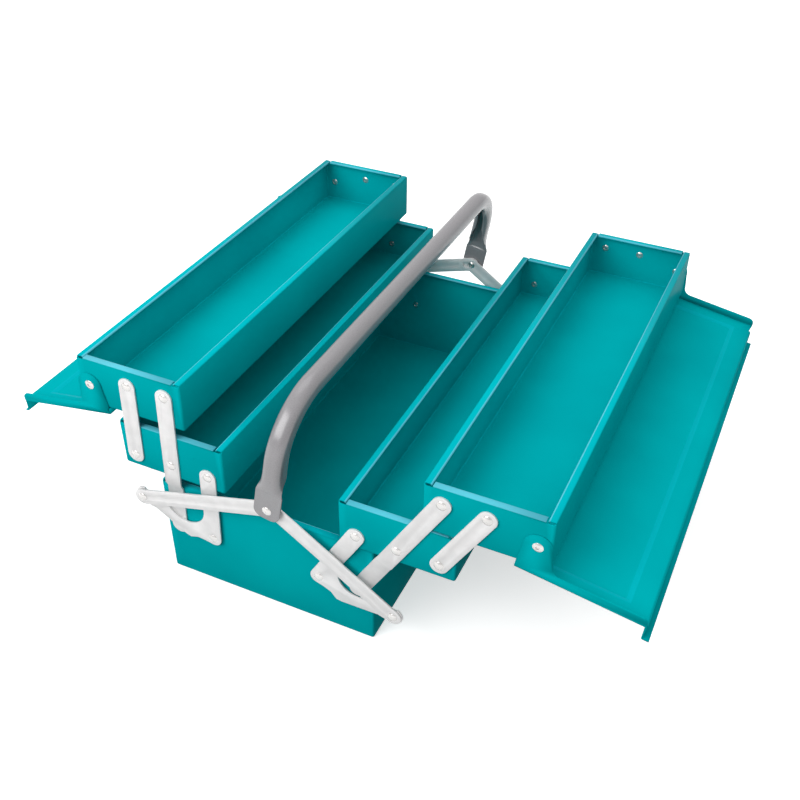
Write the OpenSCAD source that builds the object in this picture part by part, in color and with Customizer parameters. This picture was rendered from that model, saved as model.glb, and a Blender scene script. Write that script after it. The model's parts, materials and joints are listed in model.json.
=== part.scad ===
// Cantilever tool box in sheet steel. A deep base tray carries two middle trays
// and two lidded top trays on riveted folding links. Two cranks and two bars at
// each end lift a pinned carrying handle. Drawn opened out: the right side at
// its stop, the left side part way, both lids hanging open.
// Millimetres. X right, Y away from the front, Z up, origin under the base centre.

/* [Base tray] */
// Outside length of the base tray, along the handle
base_l = 399; // [340:1:480]
// Outside width of the base tray
base_w = 190; // [180:1:210]
// Height of the base tray
base_h = 98; // [88:1:120]

/* [Upper trays] */
// Height of each middle and top tray
tray_h = 42.5; // [39:0.5:46]
// How far each upper tray stands proud of the base at each end
tray_over = 2.5; // [2.3:0.1:4]
// Gap between the left and right trays when folded
tray_gap = 1.5; // [1:0.1:3]
// Vertical gap between stacked trays
stack_gap = 0.5; // [0.3:0.1:1]

/* [Sheet] */
// Thickness of the tray and lid sheet
sheet = 1; // [0.8:0.1:1.2]
// Width of the inward rim fold of the trays
rim_w = 5.8; // [5:0.1:8]
// Outside radius of the bottom folds
bend_r = 3; // [2:0.5:5]

/* [Links] */
// Angle of the links from upright when folded
fold = 30; // [28:0.5:32]
// Angle of the right links from upright as drawn (their open stop)
right_open = 30; // [20:1:30]
// Angle of the left links from upright as drawn
left_open = -2.5; // [-10:0.5:30]
// Width of the links and handle bars
link_w = 14.5; // [13:0.5:16]
// Thickness of the links, cranks and bars
link_t = 1.4; // [1.2:0.1:1.6]
// Length of the sloped joggle in a long link
joggle = 5; // [4:0.5:6]

/* [Rivets] */
// Shank diameter of the rivets
shank_d = 4.8; // [4:0.2:5.4]
// Head diameter of the domed link rivets
head_d = 8.2; // [7.6:0.2:10]
// Height of the domed heads
head_h = 1.4; // [1.2:0.1:1.6]
// Radial clearance of a rivet in a turning hole
pin_play = 0.05; // [0.03:0.01:0.08]

/* [Lids] */
// Angle from closed at which a lid hangs open
lid_open = 189.5; // [186:0.5:192]
// Gap between a closed lid and the rim of its tray
lid_gap = 2.2; // [2.1:0.1:2.6]
// Depth of the lid's end flanges
lid_skirt = 7.6; // [7:0.1:8]
// Height of the upright free edge of the right lid
right_edge = 12.2; // [11.5:0.1:14]
// Height of the upright free edge of the left lid
left_edge = 10; // [8:0.1:10.2]
// Depth of the pressed field of the lids
field_d = 1.6; // [1:0.1:2]

/* [Handle] */
// Height of the grip centre above the handle rivets
grip_up = 94; // [88:1:110]
// Diameter of the rolled grip
grip_d = 16.5; // [15:0.5:18]
// Width of the flattened leg ends
leg_w = 22.5; // [21:0.5:24]
// Radius of the handle bends
grip_bend = 45; // [38:1:46]
// Lean of the handle from upright as drawn
lean = 10; // [0:1:20]
// Height of the handle rivets above the folded trays
pivot_rise = 8; // [8:0.5:12]

/* [Hidden] */
$fn = 48;

// Running gaps
side_play = 0.05;   // closed tray side to base side
lay = 0.1;          // between neighbouring flat links
head_clear = 0.3;   // bars over rivet heads
slot_play = 0.7;    // extra half width of the right bar slot

// Tray details
rim_short = 1.6;    // the long rims stop short of the ends by this

// Rivet details
tail_r = 0.42 * head_d;     // radius of the domed tails inside the trays
tail_h = 0.11 * head_d;     // height of those tails
flush_h = 0.19 * shank_d;   // depth of the countersunk crank tip rivets
lid_head_r = 0.86 * shank_d;
lid_head_h = 0.25 * shank_d;
hole_play = 0.02;           // round a shank that sits tight

// Lid details
field_in = 16;      // from the free edge to the pressed field
field_end = 13.5;   // from the end folds and the hinge fold to it
right_lip = 4.7;    // lips folded over the centre line
left_lip = 2.8;
right_past = 0.5;   // the right lid's free edge passes the centre plane by this
left_short = 4.9;   // the left lid's free edge stops short of it by this
lip_trim = 11;      // the right lid's free edge stops short at the back end
lid_flange = 1.3;   // the hinge side flange stands outside the tray by this

// Handle details
leg_t = 2;
leg_corner = leg_w / 3;         // rounded lower corners of the leg ends
leg_below = 0.38 * leg_w;       // leg end below its rivet
grip_wall = 0.078 * grip_d;
grip_seam = 0.22 * grip_d;      // open seam of the rolled section
grip_set = 0.36 * grip_d;       // grip axis inside the legs' outer face
flat_up = 0.202 * grip_up;      // top of the flat leg end
roll_up = 0.4255 * grip_up;     // where the leg becomes the rolled section

// Trays and link pivots, u outward from the inner wall, v up from the floor
tray_l = base_l + 2 * tray_over;
tray_w = base_w / 2 - tray_gap / 2 - side_play;
vE = 0.308 * tray_h;
vC = 0.666 * tray_h;
link_len = (tray_h + stack_gap + vC - vE) / cos(fold);
pitch = link_len * sin(fold);
uE = (tray_w - 2 * pitch) * 0.533;
uA = uE + pitch;
uB = uA + pitch;
xF = tray_gap / 2 + uE + pitch;
zF = base_h + stack_gap + vE - link_len * cos(fold);
uP = tray_w - 9.8;
vP = 0.445 * tray_h;
crank_up = 0.35 * link_len;
crank_out = 0.328 * base_w;
stack_top = base_h + 2 * (tray_h + stack_gap);
hw = link_w / 2;
rs = shank_d / 2;
rp = rs + pin_play;

// Layers, measured outboard from the middle plane
y_base = base_l / 2;
y_low = y_base + lay;
y_crank = y_low + link_t + lay;
y_tray = tray_l / 2;
y_link = y_tray + lay;
y_tip = y_link + link_t + lay;
y_skirt = y_tray + head_clear;
y_barr = y_link + link_t + head_h + head_clear;
y_barl = y_barr + link_t + lay;
y_leg = y_barl + link_t + lay;
y_grip = y_leg + leg_t - grip_set;

// Positions at link angle t, for the side seen as right
function ex(t) = xF + link_len * sin(t);
function ez(t) = zF + link_len * cos(t);
function tray1(t) = [ex(t) - uE, ez(t) - vE];
function tray2(t) = [ex(t) + pitch + link_len * sin(t) - uE, ez(t) + link_len * cos(t) - vC];
function tipx(t) = xF + crank_up * sin(t) + crank_out * cos(t);
function tipz(t) = zF + crank_up * cos(t) - crank_out * sin(t);

// Handle rivet: where the bars from the two crank tips meet
closed_h = [0, stack_top + pivot_rise];
bar_len = norm([tipx(-fold), tipz(-fold)] - closed_h);
rest_r = [tipx(right_open), tipz(right_open)];
rest_l = [-tipx(left_open), tipz(left_open)];
span = rest_r - rest_l;
rise = sqrt(bar_len * bar_len - span * span / 4);
rest_h = (rest_r + rest_l) / 2 + rise * [-span[1], span[0]] / norm(span);
bar_r = atan2(rest_h[1] - rest_r[1], rest_h[0] - rest_r[0]);
bar_l = atan2(rest_h[1] - rest_l[1], rest_h[0] - rest_l[0]);
barc_r = atan2(closed_h[1] - tipz(-fold), closed_h[0] - tipx(-fold));
barc_l = 180 - barc_r;

// Slot of the right bar: how far the rivet runs from the hole half way through the fold
mid_r = (right_open - fold) / 2;
mid_l = (left_open - fold) / 2;
ang_r = (bar_r + barc_r) / 2;
ang_l = (bar_l + barc_l) / 2;
run = [-tipx(mid_l), tipz(mid_l)] + bar_len * [cos(ang_l), sin(ang_l)] - [tipx(mid_r), tipz(mid_r)];
run_u = run[0] * cos(ang_r) + run[1] * sin(ang_r) - bar_len;
run_v = run[1] * cos(ang_r) - run[0] * sin(ang_r);
run_len = norm([run_u, run_v]);
run_dir = atan2(run_v, run_u);

// Where the middle tray's outer rivet lies against the folded crank
near = [tray_gap / 2 + uB - xF, base_h + stack_gap + vE - zF];
near_out = near[0] * cos(fold) + near[1] * sin(fold);
near_up = near[1] * cos(fold) - near[0] * sin(fold);

paint = [0.004, 0.6, 0.64];
zinc = [0.9, 0.89, 0.88];
grey = [0.55, 0.56, 0.58];

module side(s) {
  mirror([s < 0 ? 1 : 0, 0, 0]) children();
}
module end(e) {
  mirror([0, e < 0 ? 1 : 0, 0]) children();
}
module both_ends() {
  end(1) children();
  end(-1) children();
}
// A flat outline in x and z, standing from y to y + t
module slab(y, t) {
  translate([0, y + t, 0]) rotate([90, 0, 0]) linear_extrude(t) children();
}
module pin(y0, y1, r) {
  translate([0, y1, 0]) rotate([90, 0, 0]) cylinder(h = y1 - y0, r = r);
}
module dome(r, h) {
  big_r = (r * r + h * h) / (2 * h);
  rotate([-90, 0, 0]) intersection() {
    translate([0, 0, h - big_r]) sphere(r = big_r, $fn = 96);
    cylinder(h = h, r = r);
  }
}
// Rivet along y: shank y0 to y1, heads beyond each end when their height is not 0
module rivet(y0, y1, ri, hi, ro, ho) {
  pin(y0, y1, rs);
  if (hi > 0) {
    difference() {
      translate([0, y0, 0]) mirror([0, 1, 0]) dome(ri, hi);
      pin(y0 - hi - 1, y0 - 0.3, rs * 0.6);
    }
  }
  if (ho > 0) {
    translate([0, y1, 0]) dome(ro, ho);
  }
}
// Joggled band: outboard position y1 below height a1, y2 above height a2
module band(a1, a2, y1, y2, t) {
  translate([-150, 0, 0]) rotate([90, 0, 90]) linear_extrude(300)
    polygon([
      [y1, -100], [y1 + t, -100], [y1 + t, a1], [y2 + t, a2],
      [y2 + t, 200], [y2, 200], [y2, a2], [y1, a1]
    ]);
}

// ---- trays ----
module corner_rect(w, h, r) {
  // upright section with two rounded bottom corners, w centred
  translate([-w / 2 + r, 0]) square([w - 2 * r, h]);
  translate([-w / 2, r]) square([w, h - r]);
  translate([-w / 2 + r, r]) circle(r);
  translate([w / 2 - r, r]) circle(r);
}
module round_rect(w, l, r) {
  square([w - 2 * r, l], center = true);
  square([w, l - 2 * r], center = true);
  for (i = [-1, 1], j = [-1, 1])
    translate([i * (w / 2 - r), j * (l / 2 - r)]) circle(r);
}
module tub(w, l, h, r, rv) {
  intersection() {
    translate([0, l / 2, 0]) rotate([90, 0, 0]) linear_extrude(l) corner_rect(w, h, r);
    translate([-w / 2, 0, 0]) rotate([90, 0, 90]) linear_extrude(w) corner_rect(l, h, r);
    linear_extrude(h) round_rect(w, l, rv);
  }
}
module shell(w, l, h) {
  difference() {
    tub(w, l, h, bend_r, bend_r / 2);
    translate([0, 0, sheet])
      tub(w - 2 * sheet, l - 2 * sheet, h + 1, bend_r - sheet, bend_r / 2 - sheet / 2);
  }
}
// Floor and long walls, with the long rims folded inward and their lips turned down
module trough(w, l, h) {
  cut_l = l - 2 * bend_r;
  intersection() {
    shell(w, l, h);
    translate([0, 0, h / 2]) cube([w + 2, cut_l, h + 2], center = true);
  }
  for (i = [-1, 1]) {
    translate([i * (w / 2 - rim_w / 2), 0, h - sheet / 2])
      cube([rim_w, l - 2 * rim_short, sheet], center = true);
    translate([i * (w / 2 - rim_w + sheet / 2), 0, h - sheet])
      cube([sheet, l - 2 * rim_short - 4, 2 * sheet], center = true);
  }
}
// End wall with its corners, rim and lip; the corner tops are notched for the long rims
module tray_end(w, l, h) {
  gap = rim_w + 1;
  difference() {
    union() {
      intersection() {
        shell(w, l, h);
        translate([-w / 2 - 1, l / 2 - bend_r, -1]) cube([w + 2, bend_r + 1, h + 2]);
      }
      translate([0, l / 2 - rim_w / 2, h - sheet / 2]) cube([w - 2 * gap, rim_w, sheet], center = true);
      translate([0, l / 2 - rim_w + sheet / 2, h - sheet])
        cube([w - 2 * gap, sheet, 2 * sheet], center = true);
    }
    for (i = [-1, 1])
      translate([i * (w / 2 - gap / 2 + 0.5), l / 2, h])
        cube([gap + 1, 2 * rim_w + 2, 3.4 * sheet], center = true);
  }
}
module hole(x, z) {
  translate([x, 0, z]) pin(y_base - rim_w, y_tray + rim_w, rs + hole_play);
}
module base_tray() {
  color(paint) trough(base_w, base_l, base_h);
}
module base_tray_end(e) {
  color(paint) end(e) difference() {
    tray_end(base_w, base_l, base_h);
    for (i = [-1, 1]) {
      hole(i * xF, zF);
      hole(i * (xF + pitch), zF);
    }
  }
}
module at_tray(s, p) {
  side(s) translate([p[0], 0, p[1]]) children();
}
module mid_tray(s, t) {
  color(paint) at_tray(s, tray1(t)) translate([tray_w / 2, 0, 0]) trough(tray_w, tray_l, tray_h);
}
module mid_tray_end(s, t, e) {
  color(paint) at_tray(s, tray1(t)) end(e) difference() {
    translate([tray_w / 2, 0, 0]) tray_end(tray_w, tray_l, tray_h);
    for (u = [uE, uA, uB]) hole(u, vE);
  }
}
module top_tray(s, t) {
  color(paint) at_tray(s, tray2(t)) translate([tray_w / 2, 0, 0]) trough(tray_w, tray_l, tray_h);
}
module top_tray_end(s, t, e) {
  color(paint) at_tray(s, tray2(t)) end(e) difference() {
    translate([tray_w / 2, 0, 0]) tray_end(tray_w, tray_l, tray_h);
    for (u = [uE, uA]) hole(u, vC);
    hole(uP, vP);
  }
}
module mid_rivets(s, t, e) {
  color(zinc) at_tray(s, tray1(t)) end(e) for (u = [uE, uA, uB])
    translate([u, 0, vE])
      rivet(y_tray - sheet, y_link + link_t, tail_r, tail_h, head_d / 2, head_h);
}
module top_rivets(s, t, e) {
  color(zinc) at_tray(s, tray2(t)) end(e) for (u = [uE, uA])
    translate([u, 0, vC])
      rivet(y_tray - sheet, y_link + link_t, tail_r, tail_h, head_d / 2, head_h);
}
module base_rivets(e) {
  color(zinc) for (i = [-1, 1]) end(e) {
    translate([i * xF, 0, zF])
      rivet(y_base - sheet, y_crank + link_t, tail_r, tail_h, head_d / 2, head_h);
    translate([i * (xF + pitch), 0, zF]) {
      rivet(y_base - sheet, y_low + link_t, tail_r, tail_h, 0, 0);
      // flush head countersunk in the link, under the crank
      translate([0, y_low + link_t, 0]) rotate([90, 0, 0])
        cylinder(h = link_t - 0.2, r1 = rs + link_t - 0.2, r2 = rs);
    }
  }
}

// ---- links, drawn upright from their lower pivot ----
module bar2d(len) {
  circle(hw);
  translate([-hw, 0]) square([link_w, len]);
  translate([0, len]) circle(hw);
}
module long_link(s, t, e) {
  a2 = link_len - vE / cos(fold) - hw * tan(fold) - 0.3;
  color(zinc) side(s) end(e) translate([xF + pitch, 0, zF]) rotate([0, t, 0]) difference() {
    intersection() {
      slab(y_low - 1, 10) bar2d(2 * link_len);
      band(a2 - joggle, a2, y_low, y_link, link_t);
    }
    translate([0, 0, link_len]) pin(y_low - 2, y_link + 9, rp);
    translate([0, 0, 2 * link_len]) pin(y_low - 2, y_link + 9, rp);
    pin(y_low - 2, y_low + link_t + 1, rp);
    // countersink for the flush rivet
    translate([0, y_low + link_t, 0]) rotate([90, 0, 0])
      cylinder(h = link_t, r1 = rp + link_t - 0.1, r2 = rp - 0.1);
  }
}
module short_link(s, t, e) {
  p = tray1(t);
  color(zinc) at_tray(s, p) end(e) translate([uB, 0, vE]) rotate([0, t, 0]) difference() {
    slab(y_link, link_t) bar2d(link_len);
    pin(y_link - 1, y_link + 9, rp);
    translate([0, 0, link_len]) pin(y_link - 1, y_link + 9, rp);
  }
}
module crank2d() {
  r_in = 18;
  lobe = 8;
  difference() {
    union() {
      bar2d(link_len);
      translate([crank_out, crank_up]) circle(lobe);
      polygon([
        [0, -hw], [0.14 * crank_out, -hw * 0.8], [0.24 * crank_out, -hw * 0.75],
        [0.36 * crank_out, -hw - 1], [0.43 * crank_out, -hw + 0.6],
        [crank_out + 0.55 * lobe, crank_up - 0.83 * lobe],
        [crank_out - 0.42 * lobe, crank_up + 0.9 * lobe],
        [hw + r_in, crank_up - 15.2], [hw + r_in, crank_up + 2.5], [0, crank_up + 2.5]
      ]);
    }
    translate([hw + r_in, crank_up + 2.5]) circle(r_in);
  }
}
module crank(s, t, e) {
  cut = 0.64 * crank_out;
  a2 = link_len - vE / cos(fold) - hw * tan(fold) - 0.3;
  // height at which the folded crank passes the middle tray's floor
  c2 = base_h + stack_gap - zF - 0.8;
  color(zinc) side(s) end(e) translate([xF, 0, zF]) rotate([0, t, 0]) difference() {
    union() {
      intersection() {
        slab(y_low, 12) crank2d();
        band(a2 - joggle, a2, y_crank, y_link, link_t);
        translate([-50, 0, -50]) cube([50 + cut, 400, 300]);
      }
      intersection() {
        slab(y_low, 12) crank2d();
        rotate([0, fold, 0]) band(c2 - 9, c2, y_crank, y_tip, link_t);
        translate([cut - 1, 0, -50]) cube([100, 400, 300]);
      }
    }
    pin(y_low - 1, y_tip + 9, rp);
    translate([0, 0, link_len]) pin(y_low - 1, y_tip + 9, rp);
    translate([crank_out, 0, crank_up]) {
      pin(y_low - 1, y_tip + 9, rs + hole_play);
      translate([0, y_tip - 0.01, 0]) rotate([-90, 0, 0])
        cylinder(h = flush_h, r1 = rs + flush_h + hole_play, r2 = rs + hole_play);
    }
    // relief over the middle tray's outer rivet head
    translate([near_out, 0, near_up]) pin(y_crank + link_t, y_tip + 9, head_d / 2 + 0.35);
  }
}
module tip_rivet(s, t, y_bar, e) {
  color(zinc) side(s) end(e) translate([tipx(t), 0, tipz(t)]) {
    rivet(y_tip, y_bar + link_t + 0.05, 0, 0, head_d / 2, head_h);
    translate([0, y_tip, 0]) rotate([-90, 0, 0]) cylinder(h = flush_h, r1 = rs + flush_h, r2 = rs);
    // spacing collar under the bar
    if (y_bar - y_tip - link_t > 0.5) pin(y_tip + link_t, y_bar - 0.05, rs + 2);
  }
}

// ---- handle bars ----
module run2d(r) {
  circle(r);
  translate([0, -r]) square([run_len, 2 * r]);
  translate([run_len, 0]) circle(r);
}
module right_bar(e) {
  color(zinc) end(e) slab(y_barr, link_t) translate(rest_r) rotate(bar_r - 90) difference() {
    union() {
      bar2d(bar_len);
      translate([0, bar_len]) rotate(90 + run_dir) run2d(hw);
    }
    circle(rp);
    // slot the handle rivet runs in while the two sides swing unevenly
    translate([0, bar_len]) rotate(90 + run_dir) run2d(rp + slot_play);
  }
}
module left_bar(e) {
  color(zinc) end(e) slab(y_barl, link_t) translate(rest_l) rotate(bar_l - 90) difference() {
    bar2d(bar_len);
    circle(rp);
    translate([0, bar_len]) circle(rp);
  }
}
module handle_rivet(e) {
  color(zinc) end(e) translate([rest_h[0], 0, rest_h[1]])
    rivet(y_barr - 0.05, y_leg + leg_t + 0.05, 0.45 * head_d, head_h - 0.1, head_d / 2, head_h);
}

// ---- lids, drawn closed about their hinge, u outward and v up ----
module lug2d(free, corner, top) {
  r = corner - 0.6;
  f = 7;
  low = top - lid_skirt;
  lean_out = 0.25;
  // where the slanted inner edge runs into its fillet
  xs = -r - lean_out * (low - f);
  circle(r);
  difference() {
    polygon([
      [-r, 0], [r * 0.985, r * 0.17], [corner, low], [corner, top], [free, top], [free, low],
      [xs - f, low], [xs, low - f]
    ]);
    translate([xs - f, low - f]) circle(f);
    // rounded outer corner at the free end
    difference() {
      translate([free - 1, low - 1]) square([6, 6]);
      translate([free + 5, low + 5]) circle(5);
      translate([free + 5, low - 2]) square([9, 12]);
    }
  }
}
module lid(s, t, free, edge, lip, trim_back) {
  under = tray_h + lid_gap - vP;
  top = under + sheet;
  corner = tray_w + lid_flange - uP;
  drop = (vP - corner * sin(lid_open) + 0.3) / -cos(lid_open);
  y_out = y_skirt + sheet;
  color(paint) at_tray(s, tray2(t)) translate([uP, 0, vP]) rotate([0, lid_open, 0]) {
    difference() {
      union() {
        translate([free, -y_out, under]) cube([corner - free, 2 * y_out, sheet]);
        field(free + field_in, corner - field_end, y_out - field_end, top, field_d);
        // hinge side flange, its edge meets the tray floor when open
        translate([corner - sheet, -y_out, drop]) cube([sheet, 2 * y_out, top - drop]);
        // upright free edge with its lip over the centre
        translate([free, -y_out, under]) cube([sheet, 2 * y_out - trim_back, edge + sheet]);
        translate([free - lip, -y_out, top + edge - sheet]) cube([lip + sheet, 2 * y_out - trim_back, sheet]);
        both_ends() slab(y_skirt, sheet) lug2d(free, corner, top);
      }
      field(free + field_in + sheet, corner - field_end - sheet, y_out - field_end - sheet, under, field_d);
      both_ends() pin(y_skirt - 1, y_out + 1, rp);
    }
  }
}
// Raised field with sloped sides
module field(x0, x1, y1, z, d) {
  intersection() {
    translate([0, y1, 0]) rotate([90, 0, 0]) linear_extrude(2 * y1)
      polygon([[x0 - 0.1, z - 0.1], [x1 + 0.1, z - 0.1], [x1 - 2 * d, z + d], [x0 + 2 * d, z + d]]);
    translate([x0 - 1, 0, 0]) rotate([90, 0, 90]) linear_extrude(x1 - x0 + 2)
      polygon([[-y1 - 0.1, z - 0.1], [y1 + 0.1, z - 0.1], [y1 - 2 * d, z + d], [-y1 + 2 * d, z + d]]);
  }
}
module lid_rivet(s, t, e) {
  color(zinc) at_tray(s, tray2(t)) end(e) translate([uP, 0, vP]) difference() {
    rivet(y_tray - sheet, y_skirt + sheet + 0.05, tail_r, tail_h, lid_head_r, lid_head_h);
    pin(y_skirt + sheet + lid_head_h / 4, y_skirt + sheet + 3, lid_head_r / 3);
  }
}
module right_lid() {
  lid(1, right_open, -right_past - tray_gap / 2 - uP, right_edge, right_lip, lip_trim);
}
module left_lid() {
  lid(-1, left_open, left_short - tray_gap / 2 - uP, left_edge, left_lip, 0);
}

// ---- handle, drawn upright about its rivets ----
module ring2d() {
  difference() {
    circle(grip_d / 2);
    circle(grip_d / 2 - grip_wall);
    // seam of the rolled section, facing inward
    translate([-grip_d, -grip_seam / 2]) square([grip_d, grip_seam]);
  }
}
module handle_leg() {
  bend_up = grip_up - grip_bend;
  // flat end
  slab(y_leg, leg_t) difference() {
    hull() {
      for (i = [-1, 1]) translate([i * (leg_w / 2 - leg_corner), leg_corner - leg_below]) circle(leg_corner);
      translate([-leg_w / 2, 0]) square([leg_w, flat_up]);
    }
    circle(rp);
  }
  // flattened end opening into the rolled section
  difference() {
    swell(flat_up, roll_up, leg_w / 2, grip_d / 2, y_leg, y_leg + leg_t);
    swell(flat_up + 3, roll_up + 1, leg_w / 2 - 2, grip_d / 2 - grip_wall, y_leg + 0.8, y_leg + leg_t - 0.8);
    translate([-1, 0, flat_up + 5]) cube([2, y_grip, roll_up]);
  }
  translate([0, y_grip, roll_up]) rotate([0, 0, 90]) linear_extrude(bend_up - roll_up) ring2d();
  translate([0, y_grip - grip_bend, bend_up]) rotate([90, 0, 90]) rotate_extrude(angle = 90)
    translate([grip_bend, 0]) ring2d();
}
// Wedge between a flat strip at z1 and a tube of radius r2 at z2
module swell(z1, z2, r1, r2, ya, yb) {
  r3 = r2 + 0.4;
  wide = 2 * leg_w;
  intersection() {
    translate([0, y_grip, z1]) cylinder(h = z2 - z1, r1 = r1 + 4, r2 = r2, $fn = 64);
    translate([-wide, 0, 0]) rotate([90, 0, 90]) linear_extrude(2 * wide)
      polygon([
        [ya, z1], [yb, z1], [y_grip + r3, z1 + 0.55 * (z2 - z1)], [y_grip + r3, z2], [y_grip - r3, z2]
      ]);
    translate([0, y_grip + wide, 0]) rotate([90, 0, 0]) linear_extrude(2 * wide)
      polygon([[-r1, z1], [r1, z1], [r3, z2], [-r3, z2]]);
  }
}
module handle() {
  color(grey) translate([rest_h[0], 0, rest_h[1]]) rotate([0, lean, 0]) {
    both_ends() handle_leg();
    // straight grip, seam underneath
    translate([0, y_grip - grip_bend, grip_up]) rotate([90, 90, 0]) rotate([0, 0, 180])
      linear_extrude(2 * (y_grip - grip_bend)) ring2d();
  }
}

base_tray();
base_tray_end(-1);  // front_base_tray_end
base_tray_end(1);  // back_base_tray_end
base_rivets(-1);  // front_base_rivets
base_rivets(1);  // back_base_rivets
long_link(1, right_open, -1);  // front_right_long_link
long_link(1, right_open, 1);  // back_right_long_link
long_link(-1, left_open, -1);  // front_left_long_link
long_link(-1, left_open, 1);  // back_left_long_link
crank(1, right_open, -1);  // front_right_crank
crank(1, right_open, 1);  // back_right_crank
crank(-1, left_open, -1);  // front_left_crank
crank(-1, left_open, 1);  // back_left_crank
short_link(1, right_open, -1);  // front_right_short_link
short_link(1, right_open, 1);  // back_right_short_link
short_link(-1, left_open, -1);  // front_left_short_link
short_link(-1, left_open, 1);  // back_left_short_link
mid_tray(1, right_open);  // right_mid_tray
mid_tray_end(1, right_open, -1);  // front_right_mid_tray_end
mid_tray_end(1, right_open, 1);  // back_right_mid_tray_end
mid_rivets(1, right_open, -1);  // front_right_mid_tray_rivets
mid_rivets(1, right_open, 1);  // back_right_mid_tray_rivets
mid_tray(-1, left_open);  // left_mid_tray
mid_tray_end(-1, left_open, -1);  // front_left_mid_tray_end
mid_tray_end(-1, left_open, 1);  // back_left_mid_tray_end
mid_rivets(-1, left_open, -1);  // front_left_mid_tray_rivets
mid_rivets(-1, left_open, 1);  // back_left_mid_tray_rivets
top_tray(1, right_open);  // right_top_tray
top_tray_end(1, right_open, -1);  // front_right_top_tray_end
top_tray_end(1, right_open, 1);  // back_right_top_tray_end
top_rivets(1, right_open, -1);  // front_right_top_tray_rivets
top_rivets(1, right_open, 1);  // back_right_top_tray_rivets
top_tray(-1, left_open);  // left_top_tray
top_tray_end(-1, left_open, -1);  // front_left_top_tray_end
top_tray_end(-1, left_open, 1);  // back_left_top_tray_end
top_rivets(-1, left_open, -1);  // front_left_top_tray_rivets
top_rivets(-1, left_open, 1);  // back_left_top_tray_rivets
right_lid();
lid_rivet(1, right_open, -1);  // front_right_lid_rivet
lid_rivet(1, right_open, 1);  // back_right_lid_rivet
left_lid();
lid_rivet(-1, left_open, -1);  // front_left_lid_rivet
lid_rivet(-1, left_open, 1);  // back_left_lid_rivet
right_bar(-1);  // front_right_handle_bar
right_bar(1);  // back_right_handle_bar
left_bar(-1);  // front_left_handle_bar
left_bar(1);  // back_left_handle_bar
tip_rivet(1, right_open, y_barr, -1);  // front_right_crank_tip_rivet
tip_rivet(1, right_open, y_barr, 1);  // back_right_crank_tip_rivet
tip_rivet(-1, left_open, y_barl, -1);  // front_left_crank_tip_rivet
tip_rivet(-1, left_open, y_barl, 1);  // back_left_crank_tip_rivet
handle_rivet(-1);  // front_handle_rivet
handle_rivet(1);  // back_handle_rivet
handle();
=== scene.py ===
# %% [markdown]
# # A cantilever tool box in teal sheet steel
# The box is five open trays of 1 mm sheet. The two on each side ride on flat
# steel links, so they spread like stairs when the box is opened. Two hinged
# lids and a rolled steel handle finish it. The engineering model is already
# packed and gives the place of every part. Here each part gets the look of the
# real one: folded edges that catch the light, enamel-like powder coat, bright
# zinc on the links, and painted steel on the handle.
#
# The imported model is loaded first. Its measured box is kept, and it is
# printed beside the dressed model's box at the end.

import json
import math

import bmesh
import bpy
from mathutils import Matrix, Vector

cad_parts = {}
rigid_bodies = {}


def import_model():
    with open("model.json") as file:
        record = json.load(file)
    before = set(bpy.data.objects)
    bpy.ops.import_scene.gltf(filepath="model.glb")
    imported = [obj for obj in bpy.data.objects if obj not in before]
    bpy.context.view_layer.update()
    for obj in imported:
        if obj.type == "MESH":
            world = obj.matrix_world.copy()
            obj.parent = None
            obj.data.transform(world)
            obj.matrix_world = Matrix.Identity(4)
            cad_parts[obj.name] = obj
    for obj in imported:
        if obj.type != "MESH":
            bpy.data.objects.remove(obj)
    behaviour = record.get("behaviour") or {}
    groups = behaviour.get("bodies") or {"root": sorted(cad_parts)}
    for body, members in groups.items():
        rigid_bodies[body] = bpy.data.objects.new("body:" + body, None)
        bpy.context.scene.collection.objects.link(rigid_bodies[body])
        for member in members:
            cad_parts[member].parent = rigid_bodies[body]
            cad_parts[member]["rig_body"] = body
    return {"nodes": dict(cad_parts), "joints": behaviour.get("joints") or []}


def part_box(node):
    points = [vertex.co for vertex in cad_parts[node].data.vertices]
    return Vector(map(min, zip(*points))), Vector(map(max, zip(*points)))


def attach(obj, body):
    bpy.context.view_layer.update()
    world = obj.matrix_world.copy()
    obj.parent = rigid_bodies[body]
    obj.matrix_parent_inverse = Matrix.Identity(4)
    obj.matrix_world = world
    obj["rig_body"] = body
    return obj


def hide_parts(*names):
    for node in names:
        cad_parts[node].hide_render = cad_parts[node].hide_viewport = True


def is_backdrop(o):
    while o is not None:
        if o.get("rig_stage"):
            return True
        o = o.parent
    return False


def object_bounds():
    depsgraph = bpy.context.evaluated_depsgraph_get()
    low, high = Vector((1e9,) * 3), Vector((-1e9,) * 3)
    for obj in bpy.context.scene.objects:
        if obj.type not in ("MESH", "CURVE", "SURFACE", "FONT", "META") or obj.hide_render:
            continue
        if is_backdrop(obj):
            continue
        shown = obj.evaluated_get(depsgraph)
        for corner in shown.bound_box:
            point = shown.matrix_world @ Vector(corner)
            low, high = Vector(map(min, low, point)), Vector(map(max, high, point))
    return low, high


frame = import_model()
cad_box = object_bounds()
MM = 0.001

# %% [markdown]
# ## The camera
# The box is seen from its front right corner and from above. A camera is an
# object like any other: it looks along its own -Z axis. It could be turned by
# hand until the view fits. Here the three directions of the view are written
# down, and the matrix is made from them, because that can be measured: yaw is
# the turn about the vertical, pitch is how far it looks down, and roll is the
# small tilt of the horizon.

# %% camera
YAW, PITCH, ROLL = (math.radians(a) for a in (24.645, 37.057, 0.614))
EYE = Vector((335.6, -678.3, 644.5)) * MM
LENS, SENSOR = 45.75, 36.0  # both in millimetres, as on a real camera
NEAREST = 0.01  # nothing closer than this is drawn, in metres

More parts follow.
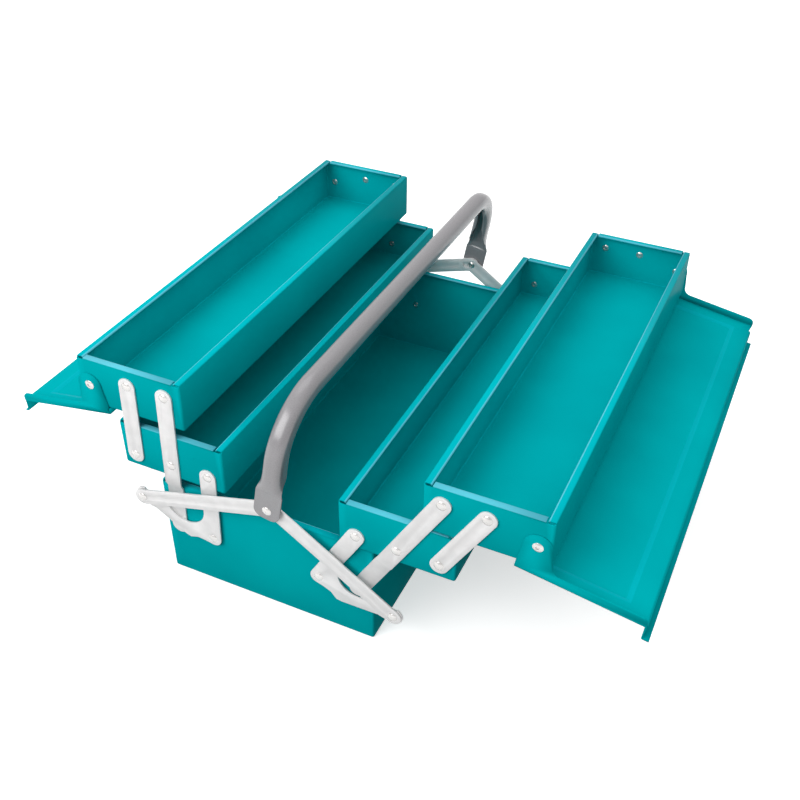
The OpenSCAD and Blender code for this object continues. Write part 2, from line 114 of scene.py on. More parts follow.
look = Vector((
    -math.sin(YAW) * math.cos(PITCH),
    math.cos(YAW) * math.cos(PITCH),
    -math.sin(PITCH),
))
flat = Vector((math.cos(YAW), math.sin(YAW), 0))
tall = flat.cross(look)
right = math.cos(ROLL) * flat + math.sin(ROLL) * tall
up = math.cos(ROLL) * tall - math.sin(ROLL) * flat

cam_data = bpy.data.cameras.new("view")
cam_data.lens = LENS
cam_data.sensor_width = SENSOR
cam_data.clip_start = NEAREST
cam = bpy.data.objects.new("view", cam_data)
cam.matrix_world = Matrix((
    (right.x, up.x, -look.x, EYE.x),
    (right.y, up.y, -look.y, EYE.y),
    (right.z, up.z, -look.z, EYE.z),
    (0, 0, 0, 1),
))
bpy.context.scene.collection.objects.link(cam)
bpy.context.scene.camera = cam
print("camera at", [round(v, 3) for v in EYE])

# %% [markdown]
# ## Colour and nodes
# Colours are written as the familiar hex values of sRGB. Blender's shaders
# work in linear light, so one function turns a hex value to linear. A second
# small function adds a node, sets its inputs and makes its links. With these
# two, a material reads like a recipe.

# %% helpers for materials
def linear(hex_code):
    """An sRGB hex value such as "00A2A9" as linear red, green, blue and alpha."""
    parts = [int(hex_code[i:i + 2], 16) / 255 for i in (0, 2, 4)]
    # the sRGB curve is straight near black, and a power above it
    curve = [c / 12.92 if c <= 0.04045 else ((c + 0.055) / 1.055) ** 2.4 for c in parts]
    return (*curve, 1.0)


WHITE = linear("FFFFFF")


def add(tree, kind, settings=None, **inputs):
    """Adds a node, sets its inputs and makes its links.

    An input is given as a value, or as the (node, output) that feeds it. Its
    keyword is its label with _ for a space, or _ and its number.
    """
    node = tree.nodes.new(kind)
    for key, value in (settings or {}).items():
        setattr(node, key, value)
    for key, value in inputs.items():
        numbered = key[1:].isdigit()
        socket = node.inputs[int(key[1:]) if numbered else key.replace("_", " ")]
        if isinstance(value, tuple) and isinstance(value[0], bpy.types.Node):
            tree.links.new(value[0].outputs[value[1]], socket)
        else:
            socket.default_value = value
    return node


def ramp_stops(node, stops):
    """Sets a colour ramp from (position, colour) pairs."""
    ramp = node.color_ramp
    while len(ramp.elements) > len(stops):
        ramp.elements.remove(ramp.elements[-1])
    while len(ramp.elements) < len(stops):
        ramp.elements.new(0.5)
    for element, (place, colour) in zip(ramp.elements, stops):
        element.position = place
        element.color = colour
    return node


def new_material(name):
    """An empty node material with its output."""
    mat = bpy.data.materials.new(name)
    mat.use_nodes = True
    mat.node_tree.nodes.clear()
    return mat, mat.node_tree, mat.node_tree.nodes.new("ShaderNodeOutputMaterial")


def finish_surface(tree, out, shader):
    """Links a shader to the output of its material."""
    tree.links.new(shader.outputs[0], out.inputs["Surface"])


# %% [markdown]
# ## Teal powder coat
# The trays and lids are powder coated: dry paint powder is charged, sprayed on
# the bare steel and baked until it flows. That gives a hard, even skin with a
# soft gloss, and a fine orange peel where the powder didn't flow quite flat.
# The peel of a good coat is 1 to 3 mm across and a few hundredths of a
# millimetre deep, so it shows only in reflections. It is a bump from noise, not
# geometry. A second, wider noise shifts the colour by a hair, as thick and thin
# places in the coat do. The mirror layer is kept very weak and tinted, because
# a strong white one would grey the colour. Two lighter tones of the same coat
# are painted light where the rims catch the light: a slightly lighter tone and
# a pale blue painted highlight. The folds round a tray's floor and the slopes
# of a lid get the first of them as painted light too.

# %% powder coat material
# A noise scale is a number of waves per metre.
DRIFT, PEEL = 16.0, 620.0  # thick and thin places 62 mm across, orange peel of 1.6 mm
NOISE_LOW, NOISE_HIGH = 0.3, 0.7  # noise keeps mostly between these, so the tones sit there
RESIN_IOR = 1.5
COAT_SHINE = "4FC6D6"


def powder_coat(name, thick, thin, mirror):
    mat, tree, out = new_material(name)
    place = add(tree, "ShaderNodeTexCoord")
    drift = add(tree, "ShaderNodeTexNoise", Vector=(place, "Object"), Scale=DRIFT, Detail=2.0)
    tone = ramp_stops(add(tree, "ShaderNodeValToRGB", Fac=(drift, "Fac")),
                      [(NOISE_LOW, linear(thick)), (NOISE_HIGH, linear(thin))])
    peel = add(tree, "ShaderNodeTexNoise", Vector=(place, "Object"), Scale=PEEL, Detail=1.0)
    bump = add(tree, "ShaderNodeBump", Strength=0.05, Distance=0.4 * MM, Height=(peel, "Fac"))
    # the gloss varies a little with the thickness of the coat
    sheen = add(tree, "ShaderNodeMapRange", Value=(drift, "Fac"), To_Min=0.3, To_Max=0.36)
    skin = add(tree, "ShaderNodeBsdfPrincipled", Base_Color=(tone, "Color"),
               Roughness=(sheen, "Result"), Normal=(bump, "Normal"), IOR=RESIN_IOR,
               Specular_IOR_Level=mirror, Specular_Tint=linear(COAT_SHINE))
    finish_surface(tree, out, skin)
    return mat


teal = powder_coat("powder_coated_steel_teal", "00A3AA", "00ABB1", 0.001)
# two lit copies of the coat: a slightly lighter tone as painted light, and a pale blue painted
# highlight
painted_light_coat = powder_coat("powder_coated_painted_light_coat", "00A9B3", "02B0BA", 0.01)
painted_highlight_coat = powder_coat("powder_coated_painted_highlight_coat", "52B8CB", "5ABFD1", 0.05)
print("made", teal.name, painted_light_coat.name, painted_highlight_coat.name)

# %% [markdown]
# ## Bright zinc plate
# Links, bars and cranks are punched from strip, and they and the rivets are
# zinc plated. Zinc plate is a metal, but the bath leaves a fine dull bloom on
# it, so the look is part mirror and part chalk. Metallic says how much is
# mirror: little on the strip, and most on the rivets, whose heads the riveting
# tool has burnished. The strip keeps a fine grain from rolling and a soft
# cloudiness from the bath.

# %% zinc material
CLOUD, GRAIN = 110.0, 2000.0  # bath marks of 9 mm, grain drawn at 0.5 mm so that it shows


def zinc_plate(name, tint_low, tint_high, mirror, rough):
    mat, tree, out = new_material(name)
    place = add(tree, "ShaderNodeTexCoord")
    cloud = add(tree, "ShaderNodeTexNoise", Vector=(place, "Object"), Scale=CLOUD, Detail=3.0)
    tone = ramp_stops(add(tree, "ShaderNodeValToRGB", Fac=(cloud, "Fac")),
                      [(NOISE_LOW, linear(tint_low)), (NOISE_HIGH, linear(tint_high))])
    grain = add(tree, "ShaderNodeTexNoise", Vector=(place, "Object"), Scale=GRAIN, Detail=2.0)
    bump = add(tree, "ShaderNodeBump", Strength=0.08, Distance=0.1 * MM, Height=(grain, "Fac"))
    # the paler places are a little duller
    gloss = add(tree, "ShaderNodeMapRange", Value=(cloud, "Fac"),
                To_Min=rough, To_Max=rough + 0.08)
    metal = add(tree, "ShaderNodeBsdfPrincipled", Base_Color=(tone, "Color"), Metallic=mirror,
                Roughness=(gloss, "Result"), Normal=(bump, "Normal"))
    finish_surface(tree, out, metal)
    return mat


strip_zinc = zinc_plate("zinc_plated_strip", "DEDDDD", "E8E7E7", 0.22, 0.42)
rivet_zinc = zinc_plate("zinc_plated_rivet", "BDBBB9", "CECCCA", 0.82, 0.2)
print("made", strip_zinc.name, rivet_zinc.name)

# %% [markdown]
# ## Silver grey handle paint
# The handle is sprayed with a silver grey enamel. Its clear skin is glossy and
# gives a bright line of light along the tube. The fine aluminium flakes under
# it make the paint only slightly metallic. They are finer than a pixel, so
# they are drawn at half a millimetre and kept faint.

# %% handle paint material
FLAKE, FLOW = 1800.0, 500.0  # flakes of 0.56 mm, waves of 2 mm where the paint ran together


def flake_enamel():
    mat, tree, out = new_material("silver_grey_enamel")
    place = add(tree, "ShaderNodeTexCoord")
    flake = add(tree, "ShaderNodeTexVoronoi", Vector=(place, "Object"), Scale=FLAKE)
    # the middle of a flake is a little paler than its edge
    tone = ramp_stops(add(tree, "ShaderNodeValToRGB", Fac=(flake, "Distance")),
                      [(0.1, linear("8D8B8E")), (0.8, linear("807E81"))])
    wave = add(tree, "ShaderNodeTexNoise", Vector=(place, "Object"), Scale=FLOW, Detail=1.0)
    bump = add(tree, "ShaderNodeBump", Strength=0.05, Distance=0.3 * MM, Height=(wave, "Fac"))
    paint = add(tree, "ShaderNodeBsdfPrincipled", Base_Color=(tone, "Color"), Metallic=0.05,
                Roughness=0.25, Normal=(bump, "Normal"), IOR=RESIN_IOR, Specular_IOR_Level=1.0)
    finish_surface(tree, out, paint)
    return mat


enamel = flake_enamel()
print("made", enamel.name)

# %% [markdown]
# ## Helpers for pieces
# Every piece is a bmesh that becomes a mesh, and an object at the origin. Its
# place is in its vertices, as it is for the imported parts. Faces are shaded
# smooth, and edges sharper than 32 degrees are marked sharp, so flat sheet
# stays crisp and folds stay round.

# %% helpers for pieces
SHARP = math.radians(32)


def make_piece(name, bm, mats, body, nodes):
    """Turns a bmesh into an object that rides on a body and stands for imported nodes."""
    mesh = bpy.data.meshes.new(name)
    bm.to_mesh(mesh)
    bm.free()
    for face in mesh.polygons:
        face.use_smooth = True
    mesh.set_sharp_from_angle(angle=SHARP)
    for mat in mats:
        mesh.materials.append(mat)
    piece = bpy.data.objects.new(name, mesh)
    bpy.context.scene.collection.objects.link(piece)
    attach(piece, body)
    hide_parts(*nodes)
    print(name, len(mesh.polygons), "faces on", body)
    return piece


def body_of(node):
    """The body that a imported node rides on."""
    return frame["nodes"][node]["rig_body"]


def fold_edges(bm, edges, radius, segments, clamp=False):
    """Rounds edges. Clamp stops the round where it would meet another."""
    return bmesh.ops.bevel(
        bm, geom=edges, offset=radius, offset_type="OFFSET", segments=segments,
        profile=0.5, affect="EDGES", clamp_overlap=clamp, material=-1)


# %% [markdown]
# ## Trays
# A tray is one blank of 1 mm sheet, folded up on four sides. The top of each
# side is folded inwards again to a flat rim with a short lip, which stiffens
# it and keeps fingers off the cut edge. The rims of the long sides run past the
# ends of the short ones, with a small gap at each corner.
#
# It could be carved from a solid. Folding it is closer to the real thing:
# a box without a top gets rounded folds with bevel, each top edge is pulled in
# to make a rim and down to make the lip, and Solidify gives the sheet its
# thickness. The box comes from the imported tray, so the two always agree.

# %% tray shells
SHEET = 1.0 * MM
RIM, LIP = 5.8 * MM, 2.0 * MM  # how far a rim reaches inwards, and its lip down
FOLD, RIM_FOLD = 2.0 * MM, 1.1 * MM  # radii of the folds at the walls and at the rims
NOTCH, CORNER_GAP = 1.7 * MM, 1.2 * MM  # depth of a corner notch, and its gap beside the rim
SAME = 1e-6  # two places closer than this are one
# besides the coat, a tray's slots hold a lighter tone of painted light and a pale painted
# highlight
TEAL, PAINTED_LIGHT_TONE, PAINTED_HIGHLIGHT_TONE = 0, 1, 2  # a tray's material slots


def along(edge, axis):
    """True if an edge runs along one axis."""
    d = edge.verts[0].co - edge.verts[1].co
    return all(abs(d[i]) < SAME for i in range(3) if i != axis)


def pull(bm, edges, step):
    """Extrudes edges and moves the new ones by a step. Returns the new outer edges."""
    got = bmesh.ops.extrude_edge_only(bm, edges=edges)["geom"]
    moved = [g for g in got if isinstance(g, bmesh.types.BMVert)]
    bmesh.ops.translate(bm, verts=moved, vec=step)
    way = Vector(step).normalized()

    def outer(edge):
        """An outer edge has one face and lies across the step."""
        run = (edge.verts[0].co - edge.verts[1].co).normalized()
        return len(edge.link_faces) == 1 and abs(run.dot(way)) < 0.5

    return [g for g in got if isinstance(g, bmesh.types.BMEdge) and outer(g)]


def node_box(nodes):
    """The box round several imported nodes."""
    corners = [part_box(node) for node in nodes]
    low = Vector([min(c[0][i] for c in corners) for i in range(3)])
    high = Vector([max(c[1][i] for c in corners) for i in range(3)])
    return low, high


def tray_shell(low, high, front_rim_painted_tone):
    """One tray. Faces of the rims and of the folds round the floor get lighter tones of painted
    light.
    """
    size, mid = high - low, (high + low) / 2
    bm = bmesh.new()
    bmesh.ops.create_cube(bm, size=1)
    bmesh.ops.scale(bm, verts=bm.verts, vec=size)
    bmesh.ops.translate(bm, verts=bm.verts, vec=mid)
    top_face = [f for f in bm.faces if f.normal.z > 0.9]
    bmesh.ops.delete(bm, geom=top_face, context="FACES_ONLY")
    fold_edges(bm, [e for e in bm.edges if len(e.link_faces) > 1], FOLD, 4)
    # painted light: the lower faces of the folds round the floor, which are neither flat nor
    # steep, get the lighter tone
    for face in bm.faces:
        if 0.75 < abs(face.normal.z) < 0.999:
            face.material_index = PAINTED_LIGHT_TONE
    # cuts for the corner notches, where the end rims stop inside the long rims
    inner = size.x / 2 - RIM - CORNER_GAP
    across, upward = (1, 0, 0), (0, 0, 1)
    cuts = [((mid.x - inner, 0, 0), across),
            ((mid.x + inner, 0, 0), across),
            ((0, 0, high.z - NOTCH), upward)]
    for place, facing in cuts:
        geom = bm.verts[:] + bm.edges[:] + bm.faces[:]
        bmesh.ops.bisect_plane(bm, geom=geom, plane_co=place, plane_no=facing)

    def in_notch(face):
        at = face.calc_center_median()
        return (at.z > high.z - NOTCH and abs(at.x - mid.x) > inner
                and abs(at.y - mid.y) > size.y / 2 - FOLD)

    bmesh.ops.delete(bm, geom=[f for f in bm.faces if in_notch(f)], context="FACES")
    top = [e for e in bm.edges
           if len(e.link_faces) == 1 and all(abs(v.co.z - high.z) < SAME for v in e.verts)]
    # each wall's top edge is pulled inwards to a rim, and the rim down to its lip
    shoulder = []
    for axis, side in ((0, -1), (0, 1), (1, -1), (1, 1)):
        face_at = (high if side > 0 else low)[axis]
        wall = [e for e in top
                if along(e, 1 - axis) and abs(e.verts[0].co[axis] - face_at) < SAME]
        step = Vector((0, 0, 0))
        step[axis] = -side * RIM
        rim = pull(bm, wall, step)
        # the front rim gets its own painted tone, the other rims the lighter tone of painted
        # light
        tone = front_rim_painted_tone if axis == 1 and side < 0 else PAINTED_LIGHT_TONE
        for edge in rim:
            edge.link_faces[0].material_index = tone
        for edge in pull(bm, rim, Vector((0, 0, -LIP))):
            edge.link_faces[0].material_index = TEAL
        shoulder += wall + rim
    bent = [e for e in shoulder if e.is_valid and len(e.link_faces) == 2]
    folds = fold_edges(bm, bent, RIM_FOLD, 3)
    # a painted highlight: a thin line of light along the inner folds
    for face in folds["faces"]:
        away = face.calc_center_median() - mid
        if min(size.x / 2 - abs(away.x), size.y / 2 - abs(away.y)) > RIM / 2:
            face.material_index = PAINTED_HIGHLIGHT_TONE
    bmesh.ops.recalc_face_normals(bm, faces=bm.faces)
    return bm


def thicken(piece, thickness):
    """Gives a folded surface the thickness of its sheet, inwards from its outer face."""
    sheet = piece.modifiers.new("sheet", "SOLIDIFY")
    sheet.thickness = thickness
    sheet.offset = -1
    sheet.use_even_offset = True
    return piece


TRAYS = ("base_tray", "right_mid_tray", "left_mid_tray", "right_top_tray", "left_top_tray")
for tray in TRAYS:
    nodes = [tray, f"front_{tray}_end", f"back_{tray}_end"]
    # the base tray's front rim lies in the shade of the others, so it gets the milder painted
    # light of the side rims, not the painted highlight
    bm = tray_shell(*node_box(nodes), PAINTED_LIGHT_TONE if tray == "base_tray" else PAINTED_HIGHLIGHT_TONE)
    coats = [teal, painted_light_coat, painted_highlight_coat]
    shell = make_piece(tray + "_shell", bm, coats, body_of(tray), nodes)
    thicken(shell, SHEET)

# %% [markdown]
# ## Links, cranks and bars
# These are punched from 1.4 mm strip. The punch leaves one edge rounded and
# the tumbling before plating breaks the other, so every edge has a thin line
# of light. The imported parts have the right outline, holes and joggles, but
# razor edges. A copy of each is welded, its flat faces are joined, and its
# edges are bevelled. Then the copy stands in for the part.

# %% eased copies of punched parts
WELD = 2e-6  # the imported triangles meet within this
IN_PLANE = math.radians(1)  # faces that turn by less are one flat


def sharper(bm, angle):
    """The edges where two faces turn by more than an angle."""
    return [e for e in bm.edges if len(e.link_faces) == 2 and e.calc_face_angle(0) > angle]


def eased_copy(node, radius, segments, angle):
    """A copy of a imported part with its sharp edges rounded."""
    bm = bmesh.new()
    bm.from_mesh(frame["nodes"][node].data)
    bmesh.ops.remove_doubles(bm, verts=bm.verts, dist=WELD)
    bmesh.ops.dissolve_limit(bm, angle_limit=IN_PLANE, verts=bm.verts, edges=bm.edges)
    fold_edges(bm, sharper(bm, math.radians(angle)), radius, segments, clamp=True)
    return bm


for end in ("front", "back"):
    for side in ("right", "left"):
        for kind in ("long_link", "short_link", "crank", "handle_bar"):
            node = f"{end}_{side}_{kind}"
            bm = eased_copy(node, 0.3 * MM, segments=2, angle=30)
            make_piece(node + "_eased", bm, [strip_zinc], body_of(node), [node])

# %% [markdown]
# ## Lids
# A lid is a shallow pan of the same sheet: a pressed field stiffens its panel,
# two end flanges with lugs hang on the tray's rivets, and the free edge stands
# up and laps over the other lid. It is built closed, about its own hinge, with
# u outward and v up. Its outer face is drawn, folded and thickened. One matrix
# then swings it open and sets it on the hinge, and a mirror makes the left one.

# %% lids
# All of these are in millimetres, measured from the hinge: u outward, v up.
LID_OPEN = math.radians(189.5)
CORNER, TOP, END = 11.1, 26.8, 203.3  # hinge side, panel, and half the length
SKIRT, FLANGE_LOW, FLANGE_R = 7.6, 21.3, 5.0  # end flange's depth, hinge flange's foot, corner
LUG, FILLET, TAPER = 10.5, 7.0, 0.25  # radius of a lug, the fillet above it, and its slant
FIELD_FREE, FIELD_EDGE = 16.0, 13.5  # pressed field: from the free edge, and from the others
SLOPE, DEPTH = 3.6, 1.6  # width and height of the field's slope
PRESSED_R, FOLDED_R = 1.1, 1.3
CREASE, FOLDED = 0.2, 1.2  # a crease turns by more than this, and a full fold, in radians


def arc(cu, cv, r, start, stop, steps):
    """Points on an arc, from one angle in degrees to another."""
    turn = [math.radians(start + (stop - start) * i / steps) for i in range(steps + 1)]
    return [(cu + r * math.cos(a), cv + r * math.sin(a)) for a in turn]


def lid_skin(free, edge, lip, trim):
    """The outer face of a lid in millimetres, u on x and v on z."""
    bm = bmesh.new()

    def ring(u0, u1, y, v):
        return [bm.verts.new(p) for p in ((u0, -y, v), (u1, -y, v), (u1, y, v), (u0, y, v))]

    inner_u = free + SHEET / MM
    field_u0, field_u1, field_y = free + FIELD_FREE, CORNER - FIELD_EDGE, END - FIELD_EDGE
    rim = ring(inner_u, CORNER, END, TOP)
    foot = ring(field_u0, field_u1, field_y, TOP)
    crown = ring(field_u0 + SLOPE, field_u1 - SLOPE, field_y - SLOPE, TOP + DEPTH)
    # the free edge may stop short of the back end
    stop = bm.verts.new((inner_u, END - trim, TOP)) if trim else rim[3]
    for outer, inner in ((rim, foot), (foot, crown)):
        for i in range(4):
            j = (i + 1) % 4
            loop = [outer[i], outer[j], inner[j], inner[i]]
            if outer is rim and i == 3 and trim:
                loop.insert(1, stop)
            bm.faces.new(loop)
    bm.faces.new(crown)
    # painted light: the slopes of the pressed field get the lighter tone
    for face in bm.faces:
        if any(v in foot for v in face.verts) and any(v in crown for v in face.verts):
            face.material_index = PAINTED_LIGHT_TONE
    # end flanges with their lugs
    low = TOP - SKIRT
    slant = -LUG - TAPER * (low - FILLET)
    outline = [(CORNER, low)]
    outline += arc(0, 0, LUG, 10, -180, 22)
    outline += arc(slant - FILLET, low - FILLET, FILLET, 0, 90, 6)
    outline += arc(inner_u + FLANGE_R, low + FLANGE_R, FLANGE_R, -90, -180, 5)
    for near, far, y in ((rim[0], rim[1], -END), (rim[3], rim[2], END)):
        bm.faces.new([near, far] + [bm.verts.new((u, y, v)) for u, v in outline])
    # hinge flange, free edge and its lip
    ends = [bm.verts.new((CORNER, y, FLANGE_LOW)) for y in (-END, END)]
    bm.faces.new([rim[1], rim[2], ends[1], ends[0]])
    tall = [bm.verts.new((inner_u, v.co.y, TOP + edge)) for v in (rim[0], stop)]
    flap = [bm.verts.new((free - lip, v.co.y, TOP + edge)) for v in (rim[0], stop)]
    bm.faces.new([rim[0], stop, tall[1], tall[0]])
    bm.faces.new([tall[0], tall[1], flap[1], flap[0]])
    bmesh.ops.recalc_face_normals(bm, faces=bm.faces)
    pressed = [e for e in sharper(bm, CREASE) if all(v in foot + crown for v in e.verts)]
    fold_edges(bm, pressed, PRESSED_R, 3)
    fold_edges(bm, sharper(bm, FOLDED), FOLDED_R, 4)
    return bm


def hinge_of(name):
    """The place of a joint."""
    return Vector(next(j["pos_m"] for j in frame["joints"] if j["name"] == name))


# side, mirror, place and height of the free edge, width of its lip, how far it stops short
LIDS = (("right", 1, -85.65, 12.2, 4.7, 11.0),
        ("left", -1, -80.25, 10.0, 2.8, 0.0))
for side, mirror, free, edge, lip, trim in LIDS:
    node = side + "_lid"
    bm = lid_skin(free, edge, lip, trim)
    place = (Matrix.Translation(hinge_of(node + "_swing"))
             @ Matrix.Diagonal((mirror * MM, MM, MM, 1))
             @ Matrix.Rotation(LID_OPEN, 4, "Y"))
    bmesh.ops.transform(bm, matrix=place, verts=bm.verts)
    if mirror < 0:
        bmesh.ops.reverse_faces(bm, faces=bm.faces)
    coats = [teal, painted_light_coat]
    lid = make_piece(node + "_pressed", bm, coats, body_of(node), [node])
    thicken(lid, SHEET)

# %% [markdown]
# ## Handle
# The handle starts as one flat strip. A press leaves its ends flat and rolls
# the rest, first to an open channel and then to a tube with its seam on the
# inner side, and the tube is bent at both ends. The script does the same. A
# grid is the flat strip. Each of its rows is carried to the bent path, and
# across the row the strip is rolled about the path. A short table says how
# wide, how far rolled and how square the strip is at each height of the leg.

# %% handle
# In millimetres, about the line of the two rivets.
GRIP_UP, GRIP_R, BEND = 94.0, 8.2, 45.0  # height of the grip's axis, its radius, the bends
LEG_OUT, AXIS_IN = 210.2, 5.94  # outer face of the flat ends, and the tube's axis inside it
PLATE_HALF, PLATE_END, PLATE_CORNER = 11.25, 8.55, 7.5  # half width, below the rivet, corners
STRIP = 1.25  # thickness of the strip
PRESSED = GRIP_R - AXIS_IN  # how far the flat ends are pressed in from the tube's outer face
LEAN = math.radians(10)  # how far the handle leans about its rivets
ROW = 1.6  # rows up the leg are about this far apart
CORNER_ROWS, BEND_ROWS, COLUMNS = 8, 18, 44
SQUARING = 0.38  # how much a squared tube bulges at its corners
ROUNDING = 0.85  # share of the squareness that is lost along the bend
EASE = 70  # the rest is lost over this length of the grip
# height above the rivet: half width, roll of each edge in degrees, step inward, squareness
LEG_STATES = [
    (19.0, (PLATE_HALF, 1, PRESSED, 0)),
    (20.2, (11.0, 24, 1.6, 0.5)),
    (25.0, (9.9, 68, 0.8, 1)),
    (32.0, (8.7, 98, 0.2, 1)),
    (38.0, (GRIP_R, 125, 0, 1)),
    (49.0, (GRIP_R, 167, 0, 1)),
]


def leg_rows():
    """Rows of (height, state) up the leg, from its end to the bend."""
    rows = []
    # the rounded corners of the flat end
    for i in range(CORNER_ROWS + 1):
        turn = math.radians(90 * i / CORNER_ROWS)
        z = -PLATE_END + (PLATE_CORNER - PLATE_CORNER * math.cos(turn))
        drop = PLATE_CORNER - PLATE_END - z
        half = PLATE_HALF - PLATE_CORNER + math.sqrt(max(PLATE_CORNER ** 2 - drop * drop, 0))
        rows.append((z, (half, 1, PRESSED, 0)))
    # between two lines of the table, a state changes evenly
    for (z0, one), (z1, two) in zip(LEG_STATES, LEG_STATES[1:]):
        steps = max(2, round((z1 - z0) / ROW))
        for i in range(steps):
            t = i / steps
            state = tuple(a + (b - a) * t for a, b in zip(one, two))
            rows.append((z0 + (z1 - z0) * t, state))
    rows.append(LEG_STATES[-1])
    return rows


def handle_rows():
    """Rows of (centre, outward direction, state) from the front rivet to the back one."""
    axis = LEG_OUT - AXIS_IN
    rows = [((-axis, z), (-1, 0), state) for z, state in leg_rows()]
    half, roll, step, square = LEG_STATES[-1][1]
    for i in range(1, BEND_ROWS + 1):
        a = math.radians(90 * i / BEND_ROWS)
        centre = (-axis + BEND - BEND * math.cos(a), GRIP_UP - BEND + BEND * math.sin(a))
        state = (half, roll, step, square * (1 - ROUNDING * i / BEND_ROWS))
        rows.append((centre, (-math.cos(a), math.sin(a)), state))
    rows.append(((BEND + EASE - axis, GRIP_UP), (0, 1), (half, roll, step, 1 - ROUNDING)))
    rows.append(((0, GRIP_UP), (0, 1), (half, roll, step, 0)))
    # the back half is the mirror of the front one
    back = [((-c[0], c[1]), (-n[0], n[1]), state) for c, n, state in reversed(rows[:-1])]
    return rows + back


def rolled(u, half, roll, step, square):
    """Where a point of the strip goes, u from -1 to 1 across it: (across, outward)."""
    a = math.radians(roll) * u
    power = 1 - SQUARING * square
    widest = math.sin(min(math.radians(roll), math.pi / 2))
    across = math.copysign(abs(math.sin(a) / widest) ** power, u) * half
    outward = math.copysign(abs(math.cos(a)) ** power, math.cos(a)) * GRIP_R
    return across, outward - step


def handle_skin():
    """The outer face of the handle: a grid from -1 to 1 whose rows are carried to the path."""
    rows = handle_rows()
    last = len(rows) - 1
    bm = bmesh.new()
    bmesh.ops.create_grid(bm, x_segments=COLUMNS, y_segments=last, size=1)
    for vert in bm.verts:
        (cy, cz), (ny, nz), state = rows[round((vert.co.y + 1) / 2 * last)]
        across, outward = rolled(vert.co.x, *state)
        vert.co = (across, cy + ny * outward, cz + nz * outward)
    bmesh.ops.recalc_face_normals(bm, faces=bm.faces)
    top = max(bm.faces, key=lambda f: f.calc_center_median().z)
    if top.normal.z < 0:
        bmesh.ops.reverse_faces(bm, faces=bm.faces)
    return bm


bm = handle_skin()
rivet = hinge_of("handle_tilt")
place = (Matrix.Translation((rivet.x, 0, rivet.z))
         @ Matrix.Rotation(LEAN, 4, "Y")
         @ Matrix.Diagonal((MM, MM, MM, 1)))
bmesh.ops.transform(bm, matrix=place, verts=bm.verts)
handle = make_piece("handle_rolled", bm, [enamel], body_of("handle"), ["handle"])
thicken(handle, STRIP * MM)

# %% [markdown]
# ## Rivets
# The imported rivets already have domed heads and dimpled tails. Smooth copies
# stand in for them, with their own brighter finish.

# %% rivets
for node in sorted(frame["nodes"]):
    if "rivet" in node:
        bm = eased_copy(node, 0.15 * MM, segments=1, angle=50)
        make_piece(node + "_smooth", bm, [rivet_zinc], body_of(node), [node])

# %% [markdown]
# ## Floor
# A big pale floor takes the shadow. Through Light Path, the camera, and any
# reflection, sees it as plain white, while the light on the box stays at a
# plain level. The light that the floor throws back up is dimmed too, so that
# the sides under the open trays stay in shade.

# %% floor
FLOOR_REACH = 6  # the floor ends this far from the box, in metres
FLOOR_GAP = 0.2 * MM  # the floor lies this far below the box, so that no two faces coincide


def seen_directly(tree):
    """1 for rays from the camera, through glass or off a shiny surface, and 0 for the rest."""
    path = add(tree, "ShaderNodeLightPath")
    seen = (path, "Is Camera Ray")
    for kind in ("Is Transmission Ray", "Is Glossy Ray"):
        either = add(tree, "ShaderNodeMath", {"operation": "MAXIMUM"}, _0=seen, _1=(path, kind))
        seen = (either, 0)
    return either


def pale_floor():
    mat, tree, out = new_material("pale_floor")
    seen = seen_directly(tree)
    paper = add(tree, "ShaderNodeBsdfDiffuse", Color=linear("F2F2F2"))
    glow = add(tree, "ShaderNodeEmission", Color=WHITE, Strength=0.55)
    white = add(tree, "ShaderNodeAddShader", _0=(paper, 0), _1=(glow, 0))
    dim = add(tree, "ShaderNodeBsdfDiffuse", Color=linear("686868"))
    both = add(tree, "ShaderNodeMixShader", _0=(seen, 0), _1=(dim, 0), _2=(white, 0))
    finish_surface(tree, out, both)
    return mat


bm = bmesh.new()
bmesh.ops.create_grid(bm, x_segments=1, y_segments=1, size=FLOOR_REACH)
floor_mesh = bpy.data.meshes.new("floor")
bm.to_mesh(floor_mesh)
bm.free()
floor_mesh.materials.append(pale_floor())
floor = bpy.data.objects.new("floor", floor_mesh)
floor.location.z = -FLOOR_GAP
bpy.context.scene.collection.objects.link(floor)
floor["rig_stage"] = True
print(floor.name, "reaches", FLOOR_REACH, "m")

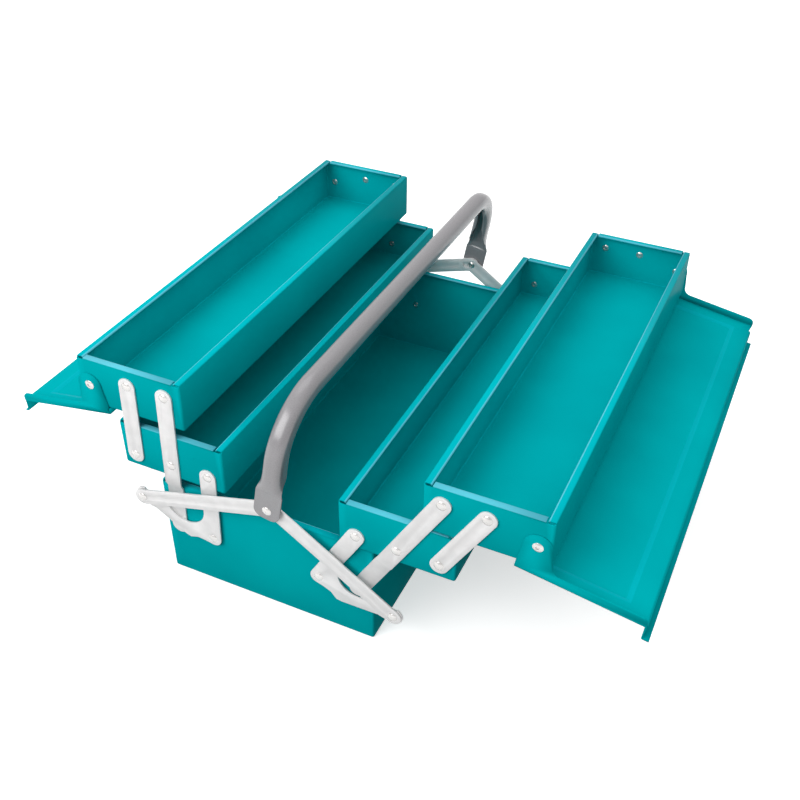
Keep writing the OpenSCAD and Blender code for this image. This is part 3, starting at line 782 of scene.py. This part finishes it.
# %% [markdown]
# ## Light and air
# The world is a light tent: it gives more light from above than from the
# horizon, and the same Light Path trick shows it to the camera as plain white.
# Two large area lamps add a soft direction, one from overhead and one from the
# front. A large lamp gives soft shadows and broad highlights, as a soft box in
# a studio does. The Standard view shows a colour as it is written.

# %% world and lamps
HORIZON, ZENITH = 0.29, 1.19  # the world's light at the horizon and straight above

world = bpy.data.worlds.new("studio")
bpy.context.scene.world = world
world.use_nodes = True
sky = world.node_tree
sky.nodes.clear()
seen = seen_directly(sky)
# the height of the direction in the sky, from 0 at the horizon to 1 straight above
where = add(sky, "ShaderNodeTexCoord")
height = add(sky, "ShaderNodeSeparateXYZ", Vector=(where, "Generated"))
tent = add(sky, "ShaderNodeMapRange", Value=(height, "Z"), To_Min=HORIZON, To_Max=ZENITH)
level = add(sky, "ShaderNodeMapRange", Value=(seen, 0), To_Min=(tent, 0), To_Max=1.0)
air = add(sky, "ShaderNodeBackground", Color=WHITE, Strength=(level, "Result"))
add(sky, "ShaderNodeOutputWorld", Surface=(air, 0))


def soft_box(name, place, aim, size, watts):
    """A square white area lamp that looks at a point."""
    data = bpy.data.lights.new(name, "AREA")
    data.size = size
    data.energy = watts
    lamp = bpy.data.objects.new(name, data)
    lamp.location = place
    lamp.rotation_euler = (Vector(aim) - Vector(place)).to_track_quat("-Z", "Y").to_euler()
    bpy.context.scene.collection.objects.link(lamp)
    print(name, "lamp of", watts, "W")


soft_box("overhead", place=(-0.3, 0.3, 1.5), aim=(0.03, 0, 0.1), size=1.0, watts=3)
soft_box("front", place=(-0.6, -1.35, 1.0), aim=(0, 0, 0.1), size=1.15, watts=15.3)
bpy.context.scene.view_settings.view_transform = "Standard"

# %% [markdown]
# ## Measure and finish
# Both boxes, the imported model's and the dressed model's, are measured and
# printed. The dressed model must stay inside the imported model's box.

# %% measure and finish
dressed_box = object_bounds()
for name, corners in (("packed", cad_box), ("dressed", dressed_box)):
    print(name, "box:", [[round(c, 4) for c in v] for v in corners])
